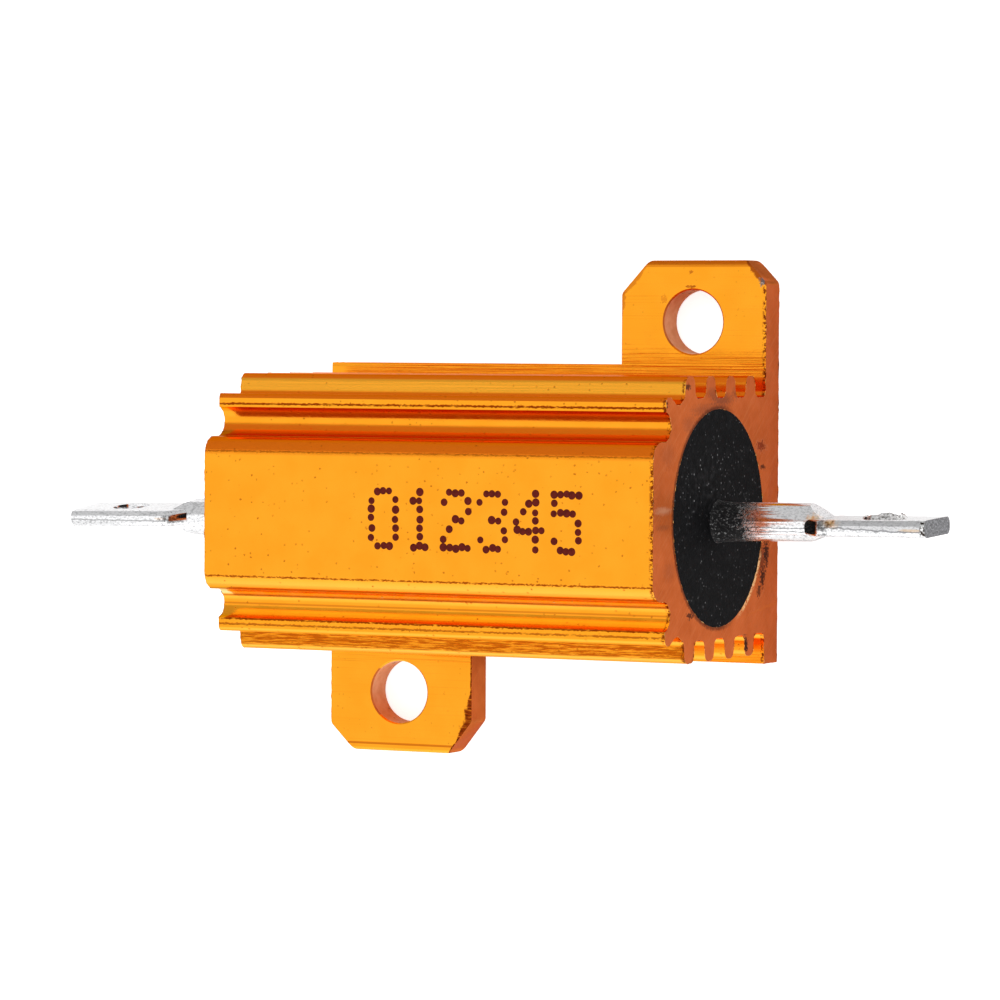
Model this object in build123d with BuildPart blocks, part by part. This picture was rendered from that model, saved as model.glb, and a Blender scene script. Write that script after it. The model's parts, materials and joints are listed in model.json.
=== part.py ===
from build123d import *
from math import cos, radians, sin
import os

# Chassis-mount wirewound power resistor. Millimetres. +X runs along the body, +Z stands
# up from the mounting base, and the origin is the middle of the base. Every size below
# can be set by itself, and the pieces take their places from them.

# Extruded housing: lengths along X, widths across Y, heights above the base
body_length = 27.4
body_height = 16.55
flange_width = 16.6
flange_thickness = 1.8
flange_edge_radius = 0.35
side_wall = 0.6

# Cooling fins down each side, as many as the height has room for below the shoulder's notch
fin_pitch = 2.65
fin_depth = 1.18
fin_root_thickness = 1.4
fin_tip_thickness = 1.1
fin_tip_radius = 0.45
slot_corner_radius = 0.4
lowest_slot = 1.4
smallest_notch = 1.2

# Shoulder over the fins, with a rounded notch below it and a round groove above it
shoulder_overhang = 0.07
shoulder_drop = 1.6
shoulder_thickness = 0.6
shoulder_radius = 0.3
shoulder_foot_radius = 0.15
notch_depth = 0.45
notch_radius = 0.6
groove_radius = 0.82
groove_depth = 0.62
block_width = 8.5
block_corner_radius = 1.0

# Two diagonal fixing ears, left where the flange is milled away beside them. Their holes
# lie at a share of the ear's floor, which runs from the trunk to the ear's tip.
ear_span = 28.3
ear_corner_radius = 0.4
upper_ear_width = 8.85
upper_ear_inner_cut = (1.7, 1.85)
upper_ear_outer_cut = (1.2, 1.25)
lower_ear_width = 9.15
lower_ear_inner_cut = (1.5, 1.9)
lower_ear_outer_cut = (1.5, 1.5)
hole_to_body_end = 4.45
hole_across_ear = 0.546
hole_diameter = 3.6
hole_edge_break = 0.08

# Bore, and how the wound element lies in it: a little low and slightly out of line
bore_diameter = 11.9
bore_below_middle = 0.225
element_drop = 0.34
element_tilt = 0.7

# Wound element, with its core under the compound at each end
end_cover = 2.95
core_diameter = 6.4
core_chamfer = 0.25
cap_wall = 0.45
cap_depth = 2.6
cap_edge_break = 0.25
ribbon_width = 0.6
ribbon_thickness = 0.15
ribbon_turns = 12
ribbon_clearance = 0.02

# Terminals: a round pin pressed flat into a pierced lug
terminal_reach = 12.75
pin_diameter = 2.1
lug_length = 6.3
lug_width = 3.7
lug_thickness = 0.95
lug_flare_radius = 0.6
lug_edge_radius = 0.38
step_length = 0.95
eyelet_diameter = 2.1
eyelet_inset = 3.0
right_lug_twist = 2.5
right_lug_rise = -0.2
right_step_blend = 0.1
left_lug_twist = 7.0
left_lug_rise = 0.09
left_step_blend = 2.2

# A rounded edge takes at most this share of its wall, and sizes match within the tolerance
largest_round = 0.45
tolerance = 0.001

# Places worked out from the sizes
flange_top = flange_thickness
trunk_side = bore_diameter / 2 + side_wall
bore_height = body_height / 2 - bore_below_middle
shoulder_top = body_height - shoulder_drop
shoulder_foot = shoulder_top - shoulder_thickness
lowest_fin = flange_top + lowest_slot + fin_root_thickness / 2
highest_fin = shoulder_foot - smallest_notch - fin_root_thickness / 2
fin_count = int((highest_fin - lowest_fin) / fin_pitch) + 1
notch_foot = lowest_fin + (fin_count - 1) * fin_pitch + fin_root_thickness / 2
body_end = body_length / 2
ear_tip = ear_span / 2
hole_x = body_end - hole_to_body_end
hole_y = trunk_side + (ear_tip - trunk_side) * hole_across_ear
cap_radius = core_diameter / 2 + cap_wall
cap_end = body_end - end_cover
cap_rim = cap_end - cap_depth
core_length = 2 * (cap_end - cap_wall)
lug_tip = body_end + terminal_reach
element_plane = Plane(
    origin=(0, -element_drop, bore_height),
    x_dir=(cos(radians(element_tilt)), sin(radians(element_tilt)), 0),
    z_dir=(0, 0, 1),
)
element_axis = Axis(element_plane.origin, element_plane.x_dir)


def half_section_corners():
    """Corners of the section's outer half outline, each with its radius, from base to top."""
    tip = trunk_side + fin_depth
    edge = min(flange_edge_radius, flange_thickness * largest_round)
    tip_round = min(fin_tip_radius, fin_tip_thickness * largest_round)
    slot = min(lowest_slot, fin_pitch - fin_root_thickness)
    slot_round = min(slot_corner_radius, slot * largest_round)
    corners = [
        ((ear_tip, 0), edge),
        ((ear_tip, flange_top), edge),
        ((trunk_side, flange_top), slot_round),
    ]
    for fin in range(fin_count):
        height = lowest_fin + fin * fin_pitch
        corners.append(((trunk_side, height - fin_root_thickness / 2), slot_round))
        corners.append(((tip, height - fin_tip_thickness / 2), tip_round))
        corners.append(((tip, height + fin_tip_thickness / 2), tip_round))
        corners.append(((trunk_side, height + fin_root_thickness / 2), slot_round))
    shoulder = trunk_side + shoulder_overhang
    corners.append(((trunk_side - notch_depth, (notch_foot + shoulder_foot) / 2), notch_radius))
    corners.append(((shoulder, shoulder_foot), shoulder_foot_radius))
    corners.append(((shoulder, shoulder_top), shoulder_radius))
    corners.append(((block_width / 2, shoulder_top), 0))
    corners.append(((block_width / 2, body_height), block_corner_radius))
    return corners


def ear_corners(side, width, inner_cut, outer_cut):
    """Plan of one ear and the strip of flange it grows from, at the end that side points to."""
    inner = body_end - width
    corners = [
        (inner, 0),
        (inner, ear_tip - inner_cut[1]),
        (inner + inner_cut[0], ear_tip),
        (body_end - outer_cut[0], ear_tip),
        (body_end, ear_tip - outer_cut[1]),
        (body_end, 0),
    ]
    return [(side * x, side * y) for x, y in corners]


def is_ear_hole(edge):
    """True for the round edges of the two fixing holes."""
    round_enough = abs(edge.radius - hole_diameter / 2) < tolerance
    return round_enough and abs(edge.arc_center.Y) > flange_width / 2


# Housing: one extrusion with the bore drawn in its section, then milled to its plan
section_corners = half_section_corners()
groove_centre = (block_width / 2 + groove_radius, shoulder_top - groove_depth + groove_radius)
with BuildPart() as housing:
    with BuildSketch(Plane.YZ):
        with BuildLine():
            half = FilletPolyline(
                (0, 0),
                *[point for point, radius in section_corners],
                (0, body_height),
                radius=[radius for point, radius in section_corners],
            )
            mirror(half, about=Plane.YZ)
        make_face()
        with Locations(groove_centre, (-groove_centre[0], groove_centre[1])):
            Circle(groove_radius, mode=Mode.SUBTRACT)
        with Locations((0, bore_height)):
            Circle(bore_diameter / 2, mode=Mode.SUBTRACT)
    extrude(amount=body_length / 2, both=True)
    with BuildSketch(Plane.XY) as plan:
        Rectangle(body_length, flange_width)
        for ear in (
            ear_corners(1, upper_ear_width, upper_ear_inner_cut, upper_ear_outer_cut),
            ear_corners(-1, lower_ear_width, lower_ear_inner_cut, lower_ear_outer_cut),
        ):
            with BuildLine():
                Polyline(ear, close=True)
            make_face()
        outside_flange = flange_width / 2 + tolerance
        fillet(plan.vertices().filter_by(lambda corner: abs(corner.Y) > outside_flange), ear_corner_radius)
    extrude(amount=body_height, mode=Mode.INTERSECT)
    with Locations((hole_x, hole_y, flange_top), (-hole_x, -hole_y, flange_top)):
        Hole(hole_diameter / 2, depth=flange_thickness)
    chamfer(housing.edges().filter_by(GeomType.CIRCLE).filter_by(is_ear_hole), hole_edge_break)
housing.part.label = "housing"

# Ceramic core: a plain rod with broken edges
with BuildPart() as ceramic_core:
    with BuildSketch(element_plane):
        with BuildLine():
            Polyline(
                (-core_length / 2, 0),
                (-core_length / 2, core_diameter / 2 - core_chamfer),
                (-core_length / 2 + core_chamfer, core_diameter / 2),
                (core_length / 2 - core_chamfer, core_diameter / 2),
                (core_length / 2, core_diameter / 2 - core_chamfer),
                (core_length / 2, 0),
                close=True,
            )
        make_face()
    revolve(axis=element_axis)
ceramic_core.part.label = "ceramic_core"


def end_cap(name, side):
    """Pressed cap over one end of the core: a cup turned from its half section."""
    with BuildPart() as cap:
        with BuildSketch(element_plane):
            with BuildLine():
                Polyline(
                    (side * cap_rim, core_diameter / 2),
                    (side * cap_rim, cap_radius),
                    (side * (cap_end - cap_edge_break), cap_radius),
                    (side * cap_end, cap_radius - cap_edge_break),
                    (side * cap_end, 0),
                    (side * core_length / 2, 0),
                    (side * core_length / 2, core_diameter / 2),
                    close=True,
                )
            make_face()
        revolve(axis=element_axis)
    cap.part.label = name
    return cap.part


# Resistance winding: one layer of ribbon, wound flat from the rim of one cap to the other
winding_radius = (core_diameter + ribbon_thickness) / 2 + ribbon_clearance
winding_length = 2 * cap_rim - ribbon_width - 2 * ribbon_clearance
winding_start = element_plane.origin - element_plane.x_dir * winding_length / 2
with BuildPart() as resistance_winding:
    with BuildLine():
        turns = Helix(
            pitch=winding_length / ribbon_turns,
            height=winding_length,
            radius=winding_radius,
            center=winding_start,
            direction=element_plane.x_dir,
        )
    with BuildSketch(Plane(origin=turns @ 0, x_dir=turns @ 0 - winding_start, z_dir=turns % 0)):
        Rectangle(ribbon_thickness, ribbon_width)
    sweep(path=turns, is_frenet=True)
resistance_winding.part.label = "resistance_winding"


def terminal(name, side, twist, rise, step_blend):
    """Lug and pin in one piece: the pin is pressed flat over step_length, then pierced."""
    lean = radians(twist)
    along = element_plane.x_dir * side
    normal = element_plane.y_dir * cos(lean) + element_plane.z_dir * sin(lean)
    lug_plane = Plane(origin=element_plane.origin + normal * rise, x_dir=along, z_dir=normal)
    side_plane = Plane(origin=element_plane.origin, x_dir=along, z_dir=along.cross(normal))
    flat_start = lug_tip - lug_length
    shoulder = flat_start - step_length
    pin_radius = pin_diameter / 2
    with BuildPart() as piece:
        with BuildSketch(lug_plane):
            with BuildLine():
                FilletPolyline(
                    (shoulder, pin_radius),
                    (flat_start, lug_width / 2),
                    (lug_tip, lug_width / 2),
                    (lug_tip, -lug_width / 2),
                    (flat_start, -lug_width / 2),
                    (shoulder, -pin_radius),
                    radius=[0, lug_flare_radius, 0, 0, lug_flare_radius, 0],
                    close=True,
                )
            make_face()
        extrude(amount=lug_thickness / 2, both=True)
        for broad_face in piece.faces().filter_by(Axis(lug_plane.origin, normal)):
            long_edges = broad_face.edges().sort_by(Axis(lug_plane.origin, along))[1:-1]
            fillet(long_edges, min(lug_edge_radius, lug_thickness * largest_round))
        with BuildSketch(lug_plane):
            with Locations((lug_tip - eyelet_inset, 0)):
                Circle(eyelet_diameter / 2)
        extrude(amount=lug_thickness, both=True, mode=Mode.SUBTRACT)
        with BuildSketch(Plane(origin=element_plane.origin + along * cap_end, z_dir=along)):
            Circle(pin_radius)
        extrude(amount=flat_start - cap_end)
        for face in (1, -1):
            with BuildSketch(side_plane):
                with BuildLine():
                    FilletPolyline(
                        (shoulder - 2 * step_length, face * pin_radius),
                        (shoulder, face * pin_radius),
                        (flat_start, face * lug_thickness / 2 + rise),
                        (flat_start, face * 2 * pin_radius),
                        (shoulder - 2 * step_length, face * 2 * pin_radius),
                        radius=[0, step_blend, 0, 0, 0],
                        close=True,
                    )
                make_face()
            extrude(amount=lug_width, both=True, mode=Mode.SUBTRACT)
    piece.part.label = name
    return piece.part


# Potting compound: fills the bore round the element, flush with both end faces
right_cap = end_cap("end_cap_right", 1)
left_cap = end_cap("end_cap_left", -1)
with BuildPart() as potting_compound:
    with BuildSketch(Plane.YZ):
        with Locations((0, bore_height)):
            Circle(bore_diameter / 2)
    extrude(amount=body_length / 2, both=True)
    with BuildSketch(element_plane):
        for length, radius in (
            (2 * cap_rim, winding_radius + ribbon_thickness / 2 + ribbon_clearance),
            (core_length, core_diameter / 2),
            (2 * lug_tip, pin_diameter / 2),
        ):
            Rectangle(length, radius, align=(Align.CENTER, Align.MIN))
    revolve(axis=element_axis, mode=Mode.SUBTRACT)
    add([right_cap, left_cap], mode=Mode.SUBTRACT)
potting_compound.part.label = "potting_compound"

finished = [
    housing.part,
    potting_compound.part,
    ceramic_core.part,
    resistance_winding.part,
    right_cap,
    left_cap,
    terminal("terminal_right", 1, right_lug_twist, right_lug_rise, right_step_blend),
    terminal("terminal_left", -1, left_lug_twist, left_lug_rise, left_step_blend),
]
os.makedirs("parts", exist_ok=True)
for piece in finished:
    export_step(piece, f"parts/{piece.label}.step")
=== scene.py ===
import json
import random
from math import cos, pi, radians, sin

import bmesh
import bpy
from mathutils import Matrix, Vector, noise


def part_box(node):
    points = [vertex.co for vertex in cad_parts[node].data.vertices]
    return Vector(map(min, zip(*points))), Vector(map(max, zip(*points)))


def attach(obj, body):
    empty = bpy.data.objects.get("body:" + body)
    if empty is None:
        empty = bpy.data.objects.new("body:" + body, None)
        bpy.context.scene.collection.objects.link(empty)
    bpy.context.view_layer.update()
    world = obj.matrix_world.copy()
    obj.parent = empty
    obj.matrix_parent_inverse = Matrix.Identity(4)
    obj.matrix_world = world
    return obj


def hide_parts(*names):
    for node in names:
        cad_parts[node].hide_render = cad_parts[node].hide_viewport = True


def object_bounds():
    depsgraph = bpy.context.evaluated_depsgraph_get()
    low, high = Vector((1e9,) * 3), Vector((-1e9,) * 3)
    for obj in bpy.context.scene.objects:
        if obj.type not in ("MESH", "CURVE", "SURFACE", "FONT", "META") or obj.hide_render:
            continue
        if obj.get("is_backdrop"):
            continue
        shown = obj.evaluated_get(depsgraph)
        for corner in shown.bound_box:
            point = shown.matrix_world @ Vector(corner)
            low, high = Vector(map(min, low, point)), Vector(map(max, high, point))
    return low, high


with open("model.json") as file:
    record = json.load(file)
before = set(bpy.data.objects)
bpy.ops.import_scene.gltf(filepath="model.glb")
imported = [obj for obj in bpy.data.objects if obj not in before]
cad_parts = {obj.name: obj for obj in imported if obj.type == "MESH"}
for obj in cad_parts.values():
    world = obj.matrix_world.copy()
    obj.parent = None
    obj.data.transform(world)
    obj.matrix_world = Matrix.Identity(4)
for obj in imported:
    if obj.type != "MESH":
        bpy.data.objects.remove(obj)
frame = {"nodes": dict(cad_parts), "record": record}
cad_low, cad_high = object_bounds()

# The room. The part lies on a plain pale floor, and a long lens looks down on it from the
# right. The light is soft: a white room, a wide soft box over the front, a brighter one
# low in front of the part, and a grey card close behind it for the metal to reflect.
bpy.context.scene.view_settings.view_transform = "Standard"

camera_place = Vector((0.124954, 0.009906, 0.255952))
camera_looks = Vector((-0.448836, -0.033015, -0.893004))
camera_top = Vector((-0.018943, 0.999444, -0.027430))
camera = bpy.data.objects.new("camera", bpy.data.cameras.new("camera"))
camera.data.lens = 179.52
camera.data.sensor_width = 36
camera.data.clip_start = 0.01
camera.location = camera_place
camera.rotation_euler = (
    Matrix((camera_looks.cross(camera_top), camera_top, -camera_looks)).transposed().to_euler()
)
bpy.context.scene.collection.objects.link(camera)
bpy.context.scene.camera = camera


def put(tree, kind, sockets=None, **settings):
    """Adds a node. Each socket is given a value, or the output that feeds it."""
    made = tree.nodes.new(kind)
    for name, value in settings.items():
        setattr(made, name, value)
    for name, value in (sockets or {}).items():
        if isinstance(value, bpy.types.NodeSocket):
            tree.links.new(value, made.inputs[name])
        else:
            made.inputs[name].default_value = value
    return made


def work_out(tree, operation, first, second=0.0):
    """One sum on two values."""
    return put(tree, "ShaderNodeMath", {0: first, 1: second}, operation=operation).outputs[0]


def place_of(tree):
    """The place on the piece, in millimetres."""
    metres = put(tree, "ShaderNodeTexCoord").outputs["Object"]
    return put(tree, "ShaderNodeVectorMath", {0: metres, "Scale": 1000.0}, operation="SCALE").outputs[0]


room = bpy.data.worlds.new("room")
room.use_nodes = True
room.node_tree.nodes["Background"].inputs["Color"].default_value = (1, 1, 1, 1)
room.node_tree.nodes["Background"].inputs["Strength"].default_value = 0.95
bpy.context.scene.world = room


def stage_sheet(name, centre, faces, width, height, finish):
    """A flat sheet that belongs to the room and not to the part."""
    sheet = bmesh.new()
    turn = (Vector(faces)).to_track_quat("Z", "Y").to_matrix().to_4x4()
    bmesh.ops.create_grid(sheet, x_segments=1, y_segments=1, size=0.5)
    bmesh.ops.scale(sheet, vec=(width, height, 1), verts=sheet.verts)
    bmesh.ops.transform(sheet, matrix=Matrix.Translation(centre) @ turn, verts=sheet.verts)
    mesh = bpy.data.meshes.new(name)
    sheet.to_mesh(mesh)
    sheet.free()
    mesh.materials.append(finish)
    made = bpy.data.objects.new(name, mesh)
    bpy.context.scene.collection.objects.link(made)
    made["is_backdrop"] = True
    return made


floor_paint = bpy.data.materials.new("floor_paint")
floor_paint.use_nodes = True
tree = floor_paint.node_tree
shader = tree.nodes["Principled BSDF"]
shader.inputs["Base Color"].default_value = (0.86, 0.86, 0.86, 1)
shader.inputs["Roughness"].default_value = 0.9
shader.inputs["Specular IOR Level"].default_value = 0.1
rays = put(tree, "ShaderNodeLightPath").outputs
seen = work_out(tree, "MAXIMUM", rays["Is Camera Ray"], rays["Is Transmission Ray"])
seen = work_out(tree, "MULTIPLY", seen, 0.72)
seen = work_out(tree, "MAXIMUM", seen, work_out(tree, "MULTIPLY", rays["Is Glossy Ray"], 0.2))
glow = put(tree, "ShaderNodeEmission", {"Strength": seen})
both = put(tree, "ShaderNodeAddShader", {0: shader.outputs[0], 1: glow.outputs[0]})
tree.links.new(both.outputs[0], tree.nodes["Material Output"].inputs["Surface"])
floor_gap = 0.00002
stage_sheet("floor", (0, 0, cad_low.z - floor_gap), (0, 0, 1), 4, 4, floor_paint)

card_paint = bpy.data.materials.new("card_paint")
card_paint.use_nodes = True
shader = card_paint.node_tree.nodes["Principled BSDF"]
shader.inputs["Base Color"].default_value = (0.6, 0.6, 0.6, 1)
shader.inputs["Roughness"].default_value = 0.9
for name, centre, faces, width, height in (
    ("grey_card", (-0.2, 0.2, 0.4), (0, -1, 0), 1.6, 0.8),
    ("grey_card_foot", (-0.2, 0.1075, 0.0002), (0, 0, 1), 1.6, 0.185),
):
    card = stage_sheet(name, centre, faces, width, height, card_paint)
    card.visible_camera = False
    card.visible_diffuse = False
    card.visible_shadow = False


def soft_box(name, place, aim, width, height, glow):
    """A wide lamp whose face has the given brightness, where 1 is white."""
    lamp = bpy.data.lights.new(name, "AREA")
    lamp.shape = "RECTANGLE"
    lamp.size = width
    lamp.size_y = height
    lamp.energy = glow * pi * width * height
    made = bpy.data.objects.new(name, lamp)
    made.location = place
    made.rotation_euler = (Vector(aim) - Vector(place)).to_track_quat("-Z", "Y").to_euler()
    made.visible_camera = False
    bpy.context.scene.collection.objects.link(made)


soft_box("front_box", (-0.45, -0.12, 0.85), (0, 0, 0.01), 0.8, 0.7, 0.15)
soft_box("low_box", (-0.1, -0.75, 0.4), (0, 0, 0.01), 1.0, 0.8, 0.45)


# Ceramic core: the rod that the element is wound on, fired steatite, matt and off-white.
def new_finish(name, metallic=0.0):
    """A material, its nodes, its shader and the place on the piece in millimetres."""
    made = bpy.data.materials.new(name)
    made.use_nodes = True
    tree = made.node_tree
    shader = tree.nodes["Principled BSDF"]
    shader.inputs["Metallic"].default_value = metallic
    return made, tree, shader, place_of(tree)


def ramp(tree, factor, *stops):
    """Colours spread over a factor from 0 to 1."""
    made = put(tree, "ShaderNodeValToRGB", {"Fac": factor})
    line = made.color_ramp.elements
    while len(line) < len(stops):
        line.new(0.5)
    for stop, (place, colour) in zip(line, stops):
        stop.position = place
        stop.color = (*colour, 1)
    return made.outputs["Color"]


def grain(tree, place, size, detail=3.0, stretch=(1, 1, 1), roughness=0.5):
    """Soft noise whose grains are size millimetres, longer where stretch is above 1."""
    squeeze = tuple(1 / (size * share) for share in stretch)
    squeezed = put(tree, "ShaderNodeVectorMath", {0: place, 1: squeeze}, operation="MULTIPLY").outputs[0]
    made = put(tree, "ShaderNodeTexNoise", {"Vector": squeezed, "Detail": detail, "Roughness": roughness})
    made.inputs["Scale"].default_value = 1.0
    return made.outputs["Fac"]


def ease(tree, value, low, high, to_low=0.0, to_high=1.0):
    """Fits a value that lies between low and high onto another range, with soft ends."""
    made = put(tree, "ShaderNodeMapRange", {"Value": value}, interpolation_type="SMOOTHSTEP")
    for socket, number in zip(("From Min", "From Max", "To Min", "To Max"), (low, high, to_low, to_high)):
        made.inputs[socket].default_value = number
    return made.outputs[0]


def relief(tree, shader, height, depth, under=None):
    """Raises the surface by the height, which is depth millimetres from 0 to 1."""
    made = put(tree, "ShaderNodeBump", {"Height": height, "Distance": depth / 1000})
    if under is not None:
        tree.links.new(under, made.inputs["Normal"])
    tree.links.new(made.outputs[0], shader.inputs["Normal"])
    return made.outputs[0]


def dress(node, finish):
    """Gives a CAD node its finish."""
    piece = frame["nodes"][node]
    piece.data.materials.clear()
    piece.data.materials.append(finish)


white_ceramic, tree, shader, place = new_finish("white_ceramic")
fired = grain(tree, place, 0.25)
tree.links.new(ramp(tree, fired, (0.3, (0.74, 0.72, 0.68)), (0.7, (0.86, 0.85, 0.82))), shader.inputs["Base Color"])
shader.inputs["Roughness"].default_value = 0.75
relief(tree, shader, fired, 0.01)
dress("ceramic_core", white_ceramic)

# End caps: thin steel cups pressed on the rod's ends and nickel plated. The ribbon is
# welded to their rims and the terminals to their flat ends.
plated_cap, tree, shader, place = new_finish("plated_cap", metallic=1.0)
clouds = grain(tree, place, 0.6)
tree.links.new(ramp(tree, clouds, (0.3, (0.5, 0.49, 0.46)), (0.7, (0.66, 0.65, 0.62))), shader.inputs["Base Color"])
tree.links.new(ease(tree, clouds, 0.3, 0.7, 0.25, 0.45), shader.inputs["Roughness"])
relief(tree, shader, grain(tree, place, 0.1, stretch=(8, 1, 1)), 0.004)
for side in ("left", "right"):
    dress(f"end_cap_{side}", plated_cap)

# Resistance winding: nickel chrome ribbon, wound flat in one open layer, dull from drawing.
resistance_ribbon, tree, shader, place = new_finish("resistance_ribbon", metallic=1.0)
drawn = grain(tree, place, 0.05, stretch=(1, 6, 6))
tree.links.new(ramp(tree, drawn, (0.3, (0.34, 0.31, 0.28)), (0.7, (0.5, 0.46, 0.42))), shader.inputs["Base Color"])
shader.inputs["Roughness"].default_value = 0.4
relief(tree, shader, drawn, 0.003)
dress("resistance_winding", resistance_ribbon)


# Terminals: a round copper-clad steel pin at each end, welded to the cap, pressed flat into
# a lug and pierced, then dipped in tin. The tin is dull and finely pitted, scorched where
# the pin was pressed with painted orange glints by the scorches, and black where the right
# pin leaves the body, partly with compound and partly as a painted reflection of it.
def new_group(name, takes, gives):
    """A shader node group with named sockets, with its input and output nodes."""
    group = bpy.data.node_groups.new(name, "ShaderNodeTree")
    for socket, kind, default in takes:
        made = group.interface.new_socket(socket, in_out="INPUT", socket_type=kind)
        made.default_value = default
    for socket, kind in gives:
        group.interface.new_socket(socket, in_out="OUTPUT", socket_type=kind)
    return group, group.nodes.new("NodeGroupInput"), group.nodes.new("NodeGroupOutput")


spot_group, takes, gives = new_group(
    "spot",
    (
        ("Place", "NodeSocketVector", (0, 0, 0)),
        ("Centre", "NodeSocketVector", (0, 0, 0)),
        ("Reach", "NodeSocketVector", (1, 1, 1)),
        ("Grain", "NodeSocketFloat", 0.2),
        ("Ragged", "NodeSocketFloat", 0.5),
        ("Edge", "NodeSocketFloat", 0.3),
    ),
    (("Mask", "NodeSocketFloat"),),
)
takes = takes.outputs


def work_out_vector(tree, operation, first, second):
    """One sum on two vectors."""
    return put(tree, "ShaderNodeVectorMath", {0: first, 1: second}, operation=operation).outputs[0]


away = work_out_vector(spot_group, "SUBTRACT", takes["Place"], takes["Centre"])
away = work_out_vector(spot_group, "DIVIDE", away, takes["Reach"])
away = put(spot_group, "ShaderNodeVectorMath", {0: away}, operation="LENGTH").outputs["Value"]
fine = work_out(spot_group, "DIVIDE", 1.0, takes["Grain"])
rim = put(spot_group, "ShaderNodeTexNoise", {"Vector": takes["Place"], "Scale": fine, "Detail": 4.0})
rim = work_out(spot_group, "SUBTRACT", rim.outputs["Fac"], 0.5)
away = work_out(spot_group, "ADD", away, work_out(spot_group, "MULTIPLY", rim, takes["Ragged"]))
inner = work_out(spot_group, "SUBTRACT", 1.0, takes["Edge"])
sockets = {"Value": away, "From Min": inner, "From Max": 1.0, "To Min": 1.0, "To Max": 0.0}
mask = put(spot_group, "ShaderNodeMapRange", sockets, interpolation_type="SMOOTHSTEP").outputs[0]
spot_group.links.new(mask, gives.inputs["Mask"])


def lay(tree, group, **sockets):
    """Places a node group with its own values and gives its first output."""
    named = {name.capitalize(): value for name, value in sockets.items()}
    return put(tree, "ShaderNodeGroup", named, node_tree=group).outputs[0]


def spot(tree, place, centre, reach, grain=0.2, ragged=0.5, edge=0.3):
    """A mask that is 1 round a centre, out to its reach in millimetres."""
    sockets = {"place": place, "centre": centre, "reach": reach}
    return lay(tree, spot_group, grain=grain, ragged=ragged, edge=edge, **sockets)


specks_group, takes, gives = new_group(
    "specks",
    (
        ("Place", "NodeSocketVector", (0, 0, 0)),
        ("Spacing", "NodeSocketFloat", 0.5),
        ("Size", "NodeSocketFloat", 0.1),
        ("Share", "NodeSocketFloat", 0.5),
        ("Ragged", "NodeSocketFloat", 0.0),
    ),
    (("Mask", "NodeSocketFloat"),),
)
takes = takes.outputs
fine = work_out(specks_group, "DIVIDE", 1.0, takes["Spacing"])
cells = put(specks_group, "ShaderNodeTexVoronoi", {"Vector": takes["Place"], "Scale": fine}).outputs
away = work_out(specks_group, "MULTIPLY", cells["Distance"], takes["Spacing"])
away = work_out(specks_group, "DIVIDE", away, takes["Size"])
finer = work_out(specks_group, "DIVIDE", 1.2, takes["Size"])
rim = put(specks_group, "ShaderNodeTexNoise", {"Vector": takes["Place"], "Scale": finer, "Detail": 3.0})
rim = work_out(specks_group, "SUBTRACT", rim.outputs["Fac"], 0.5)
away = work_out(specks_group, "ADD", away, work_out(specks_group, "MULTIPLY", rim, takes["Ragged"]))
near = ease(specks_group, away, 0.35, 1.0, 1.0, 0.0)
chance = put(specks_group, "ShaderNodeSeparateColor", {0: cells["Color"]}).outputs[0]
chosen = work_out(specks_group, "LESS_THAN", chance, takes["Share"])
specks_group.links.new(work_out(specks_group, "MULTIPLY", near, chosen), gives.inputs["Mask"])

ragged_line_group, takes, gives = new_group(
    "ragged_line",
    (
        ("Place", "NodeSocketVector", (0, 0, 0)),
        ("Line", "NodeSocketVector", (0, 0, 0)),
        ("Width", "NodeSocketFloat", 0.05),
        ("Wander", "NodeSocketFloat", 0.1),
        ("Grain", "NodeSocketFloat", 0.3),
    ),
    (("Mask", "NodeSocketFloat"),),
)
takes = takes.outputs
fine = work_out(ragged_line_group, "DIVIDE", 1.0, takes["Grain"])
drift = put(ragged_line_group, "ShaderNodeTexNoise", {"Vector": takes["Place"], "Scale": fine, "Detail": 5.0})
drift = work_out_vector(ragged_line_group, "SUBTRACT", drift.outputs["Color"], (0.5, 0.5, 0.5))
sockets = {0: drift, "Scale": takes["Wander"]}
drift = put(ragged_line_group, "ShaderNodeVectorMath", sockets, operation="SCALE").outputs[0]
away = work_out_vector(ragged_line_group, "SUBTRACT", takes["Place"], takes["Line"])
away = work_out_vector(ragged_line_group, "ADD", away, drift)
away = work_out_vector(ragged_line_group, "MULTIPLY", away, (0, 1, 1))
away = put(ragged_line_group, "ShaderNodeVectorMath", {0: away}, operation="LENGTH").outputs["Value"]
away = work_out(ragged_line_group, "DIVIDE", away, takes["Width"])
ragged_line_group.links.new(ease(ragged_line_group, away, 0.5, 1.0, 1.0, 0.0), gives.inputs["Mask"])


def blend(tree, share, under, over):
    """One colour laid over another by a share from 0 to 1."""
    colours = {6: under, 7: over}
    for socket, colour in colours.items():
        if isinstance(colour, tuple):
            colours[socket] = (*colour, 1)
    return put(tree, "ShaderNodeMix", {0: share, **colours}, data_type="RGBA").outputs[2]


def merged(node):
    """A CAD node's shape with its triangles joined into whole faces, ready for finer edges."""
    shape = bmesh.new()
    shape.from_mesh(frame["nodes"][node].data)
    bmesh.ops.remove_doubles(shape, verts=shape.verts, dist=0.000001)
    bmesh.ops.dissolve_limit(shape, angle_limit=radians(0.5), verts=shape.verts, edges=shape.edges)
    return shape


def sharp_edges(shape):
    """The edges that turn by more than the rounded ones do."""
    return [edge for edge in shape.edges if edge.is_manifold and edge.calc_face_angle() > sharp_turn]


def break_edges(shape, edges, width, segments=2):
    """Rounds edges by a width in metres, and gives the new faces."""
    return bmesh.ops.bevel(
        shape,
        geom=edges,
        offset=width,
        offset_type="OFFSET",
        segments=segments,
        profile=0.5,
        affect="EDGES",
        clamp_overlap=True,
        material=-1,
    )["faces"]


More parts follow.
